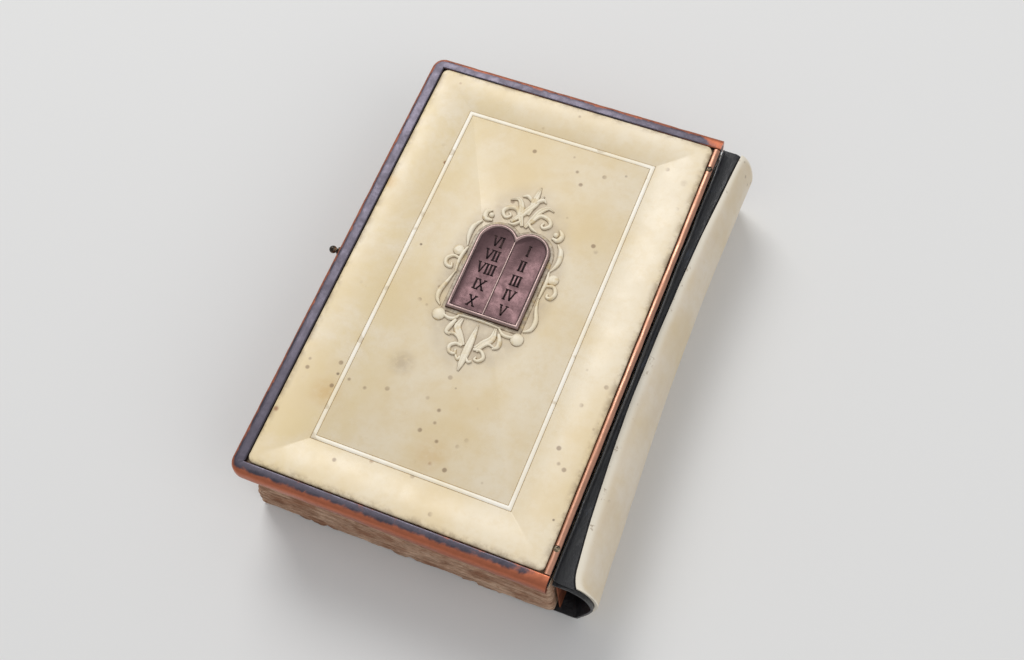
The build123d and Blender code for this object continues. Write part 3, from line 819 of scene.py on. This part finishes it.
def strip_shape():
    """Bar with a rounded top along the spine edge: half-ellipse section, straight way."""
    low, high = STRIP_LOW, STRIP_HIGH
    across = np.linspace(0, np.pi, 9)
    middle, half = (low[0] + high[0]) / 2, (high[0] - low[0]) / 2
    shoulder = low[2] + 0.45
    x = np.concatenate([[middle + half], middle + half * np.cos(across), [middle - half]])
    z = np.concatenate([[low[2]], shoulder + (high[2] - shoulder) * np.sin(across) ** 0.7,
                        [low[2]]])
    y = np.linspace(low[1], high[1], 160)
    dent = 0.05 * surface_noise(y[:, None] + 0 * x, x * 3 + 0 * y[:, None], 23, 5, 0.7)
    rings = np.stack([x + dent * 0.5, y[:, None] + 0 * x, z - np.clip(dent, 0, 1)], axis=2)
    # the crown gets the rubbed copper and the sides the dark skin: real rubbing, and along the
    # crown a painted highlight
    share = np.concatenate([[0.2], 0.25 + 0.75 * np.sin(across), [0.1]])
    return loft(rings), np.broadcast_to(share, (len(y), len(x))).ravel()


def lathed(profile, axis_point, axis, around=32):
    """Profile of (distance along the axis, radius) turned about an axis of the frame."""
    profile = np.asarray(profile, float)
    angle = np.linspace(0, 2 * np.pi, around, endpoint=False)
    along = profile[:, 0, None] + 0 * angle
    first = profile[:, 1, None] * np.cos(angle)
    second = profile[:, 1, None] * np.sin(angle)
    order = {"X": (along, first, second), "Z": (first, second, along)}[axis]
    return loft(np.stack(order, axis=2) + np.asarray(axis_point))


def stud_shape():
    """Collar, waisted neck and ball of the clasp stud, lathed about the X axis."""
    low, high = STUD_LOW, STUD_HIGH
    end, middle = low[0], (low[2] + high[2]) / 2
    ball = np.linspace(0.06, 2.55, 12)
    ball_profile = [(end + 1.0 - math.cos(a), math.sin(a)) for a in ball]
    root = RIM_LOW[0]
    rest = [(root - 0.62, 0.62), (root - 0.42, 0.72), (root - 0.30, 1.02), (root - 0.12, 1.10),
            (root + 0.10, 1.05), (root + 0.3, 0.7), (high[0], 0.7)]
    return lathed(ball_profile + rest, (0, 0, middle), "X")


def nail_shape(x, y, top):
    """Worn nail head: a low dome with a slightly hollow middle."""
    profile = [(-0.5, 0.35), (-0.02, 0.35), (-0.02, 0.78), (0.10, 0.80), (0.24, 0.66),
               (0.34, 0.45), (0.35, 0.24), (0.31, 0.08)]
    return lathed(profile, (x, y, top), "Z", 24)


# ---------------------------------------------------------------- leaves

def leaf_block(low, high, leaves, seed, ragged):
    """A pack of leaves: a rounded rectangle lofted up through one ridge for each leaf.

    At the ridges the outline stands out and at the valleys it draws in. Each ridge has
    its own small random shift on each side and its own smooth noise along the edge. The
    folded side towards the spine is rounded instead.
    """
    chance = np.random.default_rng(seed)
    middle, half = (low + high) / 2, (high - low) / 2
    outline = rounded_rectangle(half[0], half[1], 1.2, 5, 64)
    angle = np.arctan2(outline[:, 1] / half[1], outline[:, 0] / half[0])
    levels = np.linspace(0, 1, 2 * leaves + 1)
    to_spine = np.clip((outline[:, 0] / half[0] - 0.985) / 0.015, 0, 1)
    rings = []
    for number, level in enumerate(levels):
        valley = 0.22 * (number % 2 == 0)
        shift = chance.uniform(0, ragged, 2) * (number % 2)
        wave = smooth_noise(angle * 14, seed * 31 + number, 6, 1.0)
        inset = valley + 0.5 * ragged * (0.5 + 0.5 * wave) * (1 - to_spine)
        side_x = np.sign(outline[:, 0]) * (np.abs(outline[:, 0]) / half[0] > 0.93)
        side_y = np.sign(outline[:, 1]) * (np.abs(outline[:, 1]) / half[1] > 0.93)
        spot = outline.copy()
        spot[:, 0] -= side_x * (inset + shift[0] * (1 - to_spine))
        spot[:, 1] -= side_y * (inset + shift[1])
        fold = 0.6 * (1 - math.sqrt(max(0.0, 1 - (2 * level - 1) ** 2)))
        spot[:, 0] -= to_spine * fold
        rings.append(at_height(spot + middle[:2], low[2] + level * 2 * half[2]))
    return loft(rings)


def torn_sheet(low, high, z, seed, ragged, lift, thick=0.16, counts=(70, 100)):
    """One leaf with torn edges: a grid whose four borders wander, and whose middle waves.

    Between the borders x and y are blended straight across. The height is a base, a
    smooth noise and a rise towards one border, the one at low y, wavy along it.
    """
    u, v = np.meshgrid(np.linspace(0, 1, counts[0]), np.linspace(0, 1, counts[1]))
    tear = [ragged * (0.5 + 0.5 * smooth_noise(line[0] * 60, seed + k, 7, 0.35))
            for k, line in enumerate(((v,), (v,), (u,), (u,)))]
    x_low, x_high = low[0] + tear[0], high[0] - tear[1]
    y_low, y_high = low[1] + tear[2], high[1] - tear[3]
    x = x_low + (x_high - x_low) * u
    y = y_low + (y_high - y_low) * v
    wave = surface_noise(x, y, seed + 9, 4, 0.12)
    curl = lift * (np.clip(1 - v * 12, 0, 1) ** 2 * (0.5 + 0.5 * np.sin(u * 17 + seed)))
    height = z + 0.12 * wave + curl
    top = np.stack([x, y, height + thick / 2], axis=2)
    return thick_sheet(top, top - (0, 0, thick))


def flyleaf_shape():
    """The single first leaf: a grid with a shallow wave of less than a tenth of a millimetre."""
    low, high = corners("front_flyleaf")
    u, v = np.meshgrid(np.linspace(0, 1, 60), np.linspace(0, 1, 90))
    ragged = 0.35 * (0.5 + 0.5 * smooth_noise(v * 60, 61, 6, 0.4))
    x = low[0] + ragged + (high[0] - low[0] - ragged) * u
    y = low[1] + 0.2 + (high[1] - low[1] - 0.4) * v
    wave = 0.05 * surface_noise(x, y, 63, 4, 0.1)
    top = np.stack([x, y, high[2] - 0.03 + wave], axis=2)
    return thick_sheet(top, top - (0, 0, 0.12))


# ---------------------------------------------------------------- spine

def shell_section(y, count):
    """Outer line of the spine shell at each y: x and z, from its top edge down.

    Above the fullest height the depth follows an ellipse, and below it the falling power
    1 - t^1.3. Top edge and fullest point both bow outwards along the book.
    """
    y = np.asarray(y, float)[:, None]
    top_z, foot_z, full_z = SHELL_HIGH[2], SHELL_LOW[2] + 0.3, 14.6
    part = np.linspace(0, 1, count)[None, :]
    above = np.clip(part / 0.46, 0, 1)
    below = np.clip((part - 0.46) / 0.54, 0, 1)
    z = np.where(part < 0.46, top_z - (top_z - full_z) * (1 - np.cos(above * np.pi / 2)),
                 full_z - (full_z - foot_z) * below)
    rise = (z - full_z) / (top_z - full_z)
    fall = (full_z - z) / (full_z - foot_z)
    depth = np.where(z > full_z, np.sqrt(np.clip(1 - rise ** 2, 0, 1)) ** 1.15,
                     1 - np.clip(fall, 0, 1) ** 1.35)
    lean = y + 8
    edge = 41.15 + np.where(lean > 0, 0.00062, 0.00125) * lean ** 2
    corner = np.clip((-y - 55) / 4, 0, 1) ** 2
    edge = edge + 0.9 * corner
    full = 47.3 + np.where(y < 17, 3.0 * (np.abs(y - 17) / 76) ** 1.5,
                           0.7 * (np.abs(y - 17) / 45) ** 1.5)
    foot_flare = 0.42
    base = edge + foot_flare * np.clip(fall, 0, 1) ** 2
    x = base + (full - base) * depth
    return x, z + 0 * y


def offset_section(x, z, distance):
    """The same lines moved towards the book along their own normals."""
    along_x, along_z = np.gradient(x, axis=1), np.gradient(z, axis=1)
    size = np.sqrt(along_x ** 2 + along_z ** 2) + 1e-9
    return x + distance * along_z / size, z - distance * along_x / size


def shell_shape():
    """Bowed thick sheet: the outer line along the book, and its copy one wall inside."""
    low, high = SHELL_LOW, SHELL_HIGH
    y = np.linspace(low[1], high[1], 150)
    x, z = shell_section(y, 46)
    ripple = 0.10 * surface_noise(y[:, None] + 0 * x, z, 41, 4, 0.13)
    x = x + ripple
    inner_x, inner_z = offset_section(x, z, 0.8)
    outer = np.stack([x, y[:, None] + 0 * x, z], axis=2)
    inner = np.stack([inner_x, y[:, None] + 0 * x, np.maximum(inner_z, low[2] + 0.05)], axis=2)
    # the outer rim of the wall is rounded off
    for line in (outer, inner):
        line[0, :, 1] += 0.12
        line[-1, :, 1] -= 0.12
    points, faces = thick_sheet(outer, inner)
    height = np.concatenate([z.ravel(), inner_z.ravel()])
    across = np.concatenate([np.tile(y[:, None], (1, 46)).ravel()] * 2)
    # share near the top edge and the two ends: it drives the painted highlight and the chips in
    # the shell's material
    top = np.exp(-np.abs(SHELL_HIGH[2] - height) / 0.8)
    ends = np.exp(-np.abs(across - low[1]) / 0.7) + np.exp(-np.abs(high[1] - across) / 0.7)
    return (points, faces), np.clip(top + ends, 0, 1)


def leather_sheet(y, x, z, thick, seed, crinkle):
    """Thick sheet along a section given for each y, crinkled along its own normals."""
    noise = surface_noise(y[:, None] + 0 * x, (x + z) * 1.4, seed, 6, 0.35)
    out_x, out_z = offset_section(x, z, -crinkle * noise)
    in_x, in_z = offset_section(out_x, out_z, thick)
    span = y[:, None] + 0 * x
    return thick_sheet(np.stack([out_x, span, out_z], axis=2),
                       np.stack([in_x, span, in_z], axis=2))


def root_leather_shape():
    """Leather that lines the shell, from the joint down to the torn stub under the leaves."""
    y = np.linspace(LEATHER_LOW[1], LEATHER_HIGH[1], 170)
    shell_x, shell_z = shell_section(y, 40)
    lining_x, lining_z = offset_section(shell_x, shell_z, 0.98)
    lining_x, lining_z = lining_x[:, 2:-1], np.maximum(lining_z[:, 2:-1], 0.75)
    blend = np.linspace(0, 1, 6)[None, :-1]
    flap_x = 39.75 + (lining_x[:, :1] - 0.5 - 39.75) * blend
    flap_z = 24.72 + 0.0 * flap_x + 0.05 * np.sin(y[:, None] * 0.4)
    stub = np.linspace(0, 1, 12)[None, 1:]
    end = 30.5 + 1.6 * smooth_noise(y, 5, 6, 0.5)[:, None]
    stub_x = lining_x[:, -1:] + (end - lining_x[:, -1:]) * stub
    stub_z = np.full_like(stub_x, 0.62)
    x = np.concatenate([flap_x, lining_x, stub_x], axis=1)
    z = np.concatenate([flap_z, lining_z, stub_z], axis=1)
    return leather_sheet(y, x, z, 0.5, 17, 0.06)


def joint_leather_shape():
    """Strip that crosses the joint, from under the shell's edge up the side of the board."""
    y = np.linspace(-59.4, 60.5, 190)
    edge = shell_section(y, 3)[0][:, 0]
    low = through([(0, 24.72), (0.35, 24.80), (0.72, 25.1), (0.92, 25.9), (0.97, 27.0),
                   (1.0, 28.05)], 22)
    wander = 0.12 * smooth_noise(y, 3, 6, 0.6)[:, None]
    start = (edge - 0.45)[:, None]
    x = start + (39.86 - start) * low[None, :, 0]
    z = low[None, :, 1] + 0.0 * x
    x = x + wander * (1 - low[None, :, 0])
    return leather_sheet(y, x, z, 0.3, 29, 0.09)


def board_leather_shape():
    """Leather over the board's spine edge and a little way in under the board."""
    low, high = TURN_IN_LOW, TURN_IN_HIGH
    y = np.linspace(low[1], high[1], 120)
    line = through([(low[0], low[2] + 0.08), (high[0] - 1.4, low[2] + 0.06),
                    (high[0] - 0.3, low[2] + 0.12), (high[0] + 0.02, low[2] + 0.5),
                    (high[0] + 0.05, low[2] + 1.6), (high[0] + 0.05, 28.0)], 26)
    x = line[None, :, 0] + 0 * y[:, None]
    z = line[None, :, 1] + 0 * y[:, None]
    return leather_sheet(y, x, z, -0.12, 37, 0.015)


# ---------------------------------------------------------------- settings

def colour(name, description, value):
    return bpy.props.FloatVectorProperty(name=name, description=description, subtype="COLOR",
                                         size=3, min=0, max=1, default=value)


class PrayerBookSizes(bpy.types.PropertyGroup):
    """Sizes of the looks, in millimetres."""
    line_width: bpy.props.FloatProperty(
        name="Inlaid line", description="Width of the whiter line round the panel",
        default=1.0, min=0.4, max=2.0)
    bevel: bpy.props.FloatProperty(
        name="Panel bevel", description="Width of the slope round the cover panel",
        default=0.7, min=0.2, max=1.5)
    relief_height: bpy.props.FloatProperty(
        name="Relief height", description="How far the scrolls stand up from the panel",
        default=0.78, min=0.3, max=1.2)
    numeral_size: bpy.props.FloatProperty(
        name="Numeral height", description="Height of the Roman numerals on the tablets",
        default=2.75, min=1.0, max=4.0)
    leaf_wear: bpy.props.FloatProperty(
        name="Leaf wear", description="How far the leaf edges stand in and out of line",
        default=0.55, min=0.0, max=1.5)


class PrayerBookColors(bpy.types.PropertyGroup):
    """Colours of the finishes."""
    panel: colour("Cover panel", "Aged cream of the cover panel", linear(237, 223, 197))
    stain: colour("Stain", "Grey-brown of the larger stains", linear(176, 158, 138))
    inlay: colour("Inlaid line", "White of the line let into the panel", linear(247, 241, 229))
    relief: colour("Relief", "Cream of the scrolls and leaves", linear(236, 226, 205))
    bronze: colour("Bronze", "Dark skin of the tablets", linear(92, 72, 74))
    bronze_worn: colour("Rubbed bronze", "Tablets where they are rubbed", linear(160, 138, 134))
    # the spine strip's rubbed copper also serves as a painted highlight along its crown
    patina: colour("Patina", "Dark skin of the rim", linear(84, 80, 90))
    copper: colour("Copper", "Rim where it is rubbed", linear(186, 112, 84))
    strip: colour("Spine strip", "Rubbed pinkish copper", linear(190, 142, 120))
    leather: colour("Leather", "Black of the old leather", linear(22, 23, 28))
    paper: colour("Leaf edges", "Pale part of the leaf edges", linear(206, 176, 152))
    paper_edge: colour("Leaf stains", "Browned part of the leaf edges", linear(158, 116, 92))
    endpaper: colour("Endpaper", "Aged plain endpaper", linear(208, 190, 164))
    shell: colour("Spine shell", "Greyer cream of the spine", linear(222, 211, 194))
    floor: colour("Floor", "Pale table top", linear(226, 226, 226))


# ---------------------------------------------------------------- operators

class PrayerBookStep(bpy.types.Operator):
    """Common part of the steps that build the book."""
    bl_idname = "prayer_book.step"
    bl_label = "Step"
    bl_options = {"REGISTER", "UNDO"}

    def build(self, sizes, colors):
        raise NotImplementedError(self.bl_idname)

    def execute(self, context):
        self.build(context.scene.prayer_book_sizes, context.scene.prayer_book_colors)
        return {"FINISHED"}


class PRAYERBOOK_OT_panel(PrayerBookStep):
    """Build the cream cover panel and its inlaid line"""
    bl_idname = "prayer_book.panel"
    bl_label = "Cover Panel"

    def build(self, sizes, colors):
        line_middle = (25.05, 48.25)
        add_piece("cover_panel", panel_shape(line_middle, sizes.line_width, sizes.bevel),
                  panel_material(tuple(colors.panel), tuple(colors.stain)), BOARD,
                  ("front_panel",), sharp=60)
        add_piece("inlaid_line", line_shape(line_middle, sizes.line_width),
                  inlay_material(tuple(colors.inlay)), BOARD,
                  ("front_inlay_line",), sharp=50)


class PRAYERBOOK_OT_relief(PrayerBookStep):
    """Build the scrolls, leaves and buttons round the tablets"""
    bl_idname = "prayer_book.relief"
    bl_label = "Relief"

    def build(self, sizes, colors):
        shape, share = relief_shape(0.45, sizes.relief_height)
        add_piece("cartouche_relief", shape, relief_material(tuple(colors.relief)), BOARD,
                  ("front_cartouche",), sharp=70, attribute={"relief": share})


class PRAYERBOOK_OT_tablets(PrayerBookStep):
    """Build the two bronze tablets and their numerals"""
    bl_idname = "prayer_book.tablets"
    bl_label = "Tablets"

    def build(self, sizes, colors):
        top = PLAQUE_HIGH[2]
        field = top - 0.42
        bronze = aged_metal("dark_bronze", tuple(colors.bronze), tuple(colors.bronze_worn),
                            "rubbed", 0.40, 330)
        shape, share = tablets_shape(field)
        add_piece("bronze_tablets", shape, bronze.material, BOARD,
                  ("tablets_plaque",), sharp=60, attribute={"rubbed": share})
        ink = aged_metal("numeral_bronze", linear(30, 24, 26), linear(70, 56, 54), None, 0.5, 500)
        bars = []
        middle = (PLAQUE_LOW[0] + PLAQUE_HIGH[0]) / 2
        left = (("VI", 14.6), ("VII", 10.6), ("VIII", 6.6), ("IX", 2.0), ("X", -2.7))
        right = (("I", 14.6), ("II", 10.2), ("III", 5.9), ("IV", 1.7), ("V", -2.7))
        for x, column in ((middle - 4.0, left), (middle + 4.1, right)):
            for text, y in column:
                bars += numeral(text, x, y, sizes.numeral_size, field - 0.05, field + 0.16)
        add_piece("tablet_numerals", joined(bars), ink.material, BOARD)
        finish_node("tablets_pins", bronze.material)


class PRAYERBOOK_OT_metalwork(PrayerBookStep):
    """Build the metal rim, the spine strip, the nails and the clasp stud"""
    bl_idname = "prayer_book.metalwork"
    bl_label = "Metalwork"

    def build(self, sizes, colors):
        rim = aged_metal("rim_metal", tuple(colors.patina), tuple(colors.copper), "wear_and_sheen",
                         0.38, 210)
        shape, share = rim_shape()
        add_piece("metal_rim", shape, rim.material, BOARD, ("front_rim",),
                  sharp=60, attribute={"wear_and_sheen": share})
        # strip metal: rubbed copper, brighter along the crown as a painted highlight
        strip = aged_metal("strip_metal", linear(112, 88, 82), tuple(colors.strip), "wear_and_sheen",
                           0.40, 190)
        shape, share = strip_shape()
        add_piece("spine_strip", shape, strip.material, BOARD,
                  ("front_spine_strip",), sharp=60, attribute={"wear_and_sheen": share})
        steel = aged_metal("pin_metal", linear(60, 54, 50), linear(168, 150, 124), None, 0.34,
                           600)
        middle = (STRIP_LOW[0] + STRIP_HIGH[0]) / 2
        nails = [nail_shape(middle, y, STRIP_HIGH[2] - 0.08) for y in (-53.0, 53.0)]
        add_piece("strip_nails", joined(nails), steel.material, BOARD,
                  ("strip_pins",))
        add_piece("stud_on_fore_edge", stud_shape(), steel.material, BOARD,
                  ("clasp_stud",), sharp=50)


class PRAYERBOOK_OT_leaves(PrayerBookStep):
    """Build the flyleaf, the leaves that turn and the gatherings under them"""
    bl_idname = "prayer_book.leaves"
    bl_label = "Leaves"

    def build(self, sizes, colors):
        paper = paper_material("leaf_paper", tuple(colors.paper), tuple(colors.paper_edge))
        plain = paper_material("endpaper", tuple(colors.endpaper), linear(178, 150, 120), False)
        finish_node("front_pastedown", plain)
        add_piece("first_flyleaf", flyleaf_shape(), plain, "flyleaf",
                  ("front_flyleaf",), sharp=50)
        for number in (1, 2, 3):
            node = f"turning_leaves_{number}"
            low, high = corners(node)
            add_piece(f"upper_leaves_pack_{number}",
                      leaf_block(low, high, 7, 80 + number, sizes.leaf_wear * 0.7), paper,
                      f"upper_leaves_{number}", (node,), sharp=80)
        for number in range(1, 9):
            node = f"gathering_{number:02d}"
            low, high = corners(node)
            wear = sizes.leaf_wear * (0.7 + 0.13 * number)
            add_piece(f"sewn_leaves_{number:02d}",
                      leaf_block(low, high, 7, 90 + number, wear), paper, BLOCK,
                      (node,), sharp=80)
        low, high = corners("last_gathering")
        sheets = [torn_sheet(low + (k * 0.8, 0, 0), high - (k * 1.7, 0, 0),
                             low[2] + 0.22 + 0.3 * k, 110 + k, 1.6, 0.25 * (k == 0))
                  for k in range(4)]
        add_piece("loose_last_leaves", joined(sheets), paper, BLOCK,
                  ("last_gathering",), sharp=60)


class PRAYERBOOK_OT_spine(PrayerBookStep):
    """Build the sewing, the linings, the leather and the bowed spine shell"""
    bl_idname = "prayer_book.spine"
    bl_label = "Spine"

    def build(self, sizes, colors):
        finish_node("sewing_tapes", cloth_material("tape_cloth", linear(186, 176, 154)))
        finish_node("spine_mull", cloth_material("mull_cloth", linear(172, 160, 136)))
        finish_node("sewing_threads", cloth_material("linen_thread", linear(206, 196, 172)))
        finish_node("spine_lining", paper_material("lining_paper", linear(138, 82, 58),
                                                   linear(96, 52, 38), False))
        finish_node("front_board_core", board_material(linear(166, 146, 122)))
        leather = leather_material(tuple(colors.leather))
        add_piece("spine_leather_lining", root_leather_shape(), leather, BLOCK,
                  ("spine_leather",), sharp=60)
        add_piece("board_spine_leather", board_leather_shape(), leather, BOARD,
                  ("front_turn_in",), sharp=60)
        joint = add_piece("joint_leather", joint_leather_shape(), leather, None,
                          sharp=60)
        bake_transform(joint)
        shape, edge = shell_shape()
        add_piece("spine_shell_bow", shape, shell_material(tuple(colors.shell)), BLOCK,
                  ("spine_shell",), sharp=60, attribute={"edge": edge})


class PRAYERBOOK_OT_stage(PrayerBookStep):
    """Build the table, the soft studio light and the camera"""
    bl_idname = "prayer_book.stage"
    bl_label = "Stage"

    def build(self, sizes, colors):
        floor_mesh = bpy.data.meshes.new("table_top")
        u, v = np.meshgrid(np.linspace(-2.2, 2.2, 12), np.linspace(-2.2, 2.2, 12))
        points = np.stack([u, v, np.full_like(u, -0.00005)], axis=2).reshape(-1, 3)
        floor_mesh.from_pydata(points.tolist(), [], grid_faces(12, 12).tolist())
        floor = bpy.data.objects.new("table_top", floor_mesh)
        bpy.context.scene.collection.objects.link(floor)
        shade = Shade("pale_table", tuple(colors.floor), 0.85, specular=0.15)
        floor_mesh.materials.append(shade.material)

        world = bpy.data.worlds.new("studio_air")
        bpy.context.scene.world = world
        world.use_nodes = True
        air = world.node_tree.nodes["Background"]
        air.inputs["Color"].default_value = (0.98, 0.99, 1.0, 1)
        air.inputs["Strength"].default_value = 0.52
        middle = Vector((0.0, 0.0, 0.02))
        for name, place, size, power, tint in (
                ("window_light", (-0.55, 0.75, 1.05), 0.7, 9.5, (1.0, 0.99, 0.97)),
                ("fill_light", (0.95, -0.35, 0.9), 0.9, 3.2, (1.0, 0.98, 0.96))):
            lamp = bpy.data.lights.new(name, "AREA")
            lamp.shape = "SQUARE"
            lamp.size = size
            lamp.energy = power
            lamp.color = tint
            holder = bpy.data.objects.new(name, lamp)
            holder.location = place
            holder.rotation_euler = (middle - Vector(place)).to_track_quat("-Z", "Y").to_euler()
            bpy.context.scene.collection.objects.link(holder)

        lens = bpy.data.cameras.new("camera")
        lens.lens = 48.66
        lens.sensor_width = 36.0
        lens.clip_start = 0.01
        camera = bpy.data.objects.new("camera", lens)
        aim = Vector((8.592, -6.365, 30.0)) * MM
        distance = 334.27 * MM
        right = Vector((0.92391, 0.37592, -0.07123))
        up = Vector((-0.31165, 0.84739, 0.42989))
        back = Vector((0.22197, -0.37498, 0.90007))
        turn = Matrix((right, up, back)).transposed().to_4x4()
        camera.matrix_world = Matrix.Translation(aim + back * distance) @ turn
        bpy.context.scene.collection.objects.link(camera)
        bpy.context.scene.camera = camera
        bpy.context.scene.view_settings.view_transform = "Standard"


STEPS = (PRAYERBOOK_OT_panel, PRAYERBOOK_OT_relief, PRAYERBOOK_OT_tablets,
         PRAYERBOOK_OT_metalwork, PRAYERBOOK_OT_leaves, PRAYERBOOK_OT_spine,
         PRAYERBOOK_OT_stage)


class PRAYERBOOK_PT_sidebar(bpy.types.Panel):
    """Lists the steps, sizes and colours of the prayer book"""
    bl_idname = "PRAYERBOOK_PT_sidebar"
    bl_label = "Prayer Book"
    bl_space_type = "VIEW_3D"
    bl_region_type = "UI"
    bl_category = "Prayer Book"

    def draw(self, context):
        layout = self.layout
        for step in STEPS:
            layout.operator(step.bl_idname)
        for title, group in (("Sizes (mm)", context.scene.prayer_book_sizes),
                             ("Colours", context.scene.prayer_book_colors)):
            box = layout.box()
            box.label(text=title)
            for key in group.__annotations__:
                box.prop(group, key)


CLASSES = (PrayerBookSizes, PrayerBookColors, *STEPS, PRAYERBOOK_PT_sidebar)


def register():
    for item in CLASSES:
        bpy.utils.register_class(item)
    bpy.types.Scene.prayer_book_sizes = bpy.props.PointerProperty(type=PrayerBookSizes)
    bpy.types.Scene.prayer_book_colors = bpy.props.PointerProperty(type=PrayerBookColors)


def unregister():
    del bpy.types.Scene.prayer_book_colors
    del bpy.types.Scene.prayer_book_sizes
    for item in reversed(CLASSES):
        bpy.utils.unregister_class(item)


def main():
    register()
    for step in STEPS:
        group, name = step.bl_idname.split(".")
        getattr(getattr(bpy.ops, group), name)()


if __name__ == "__main__":
    main()
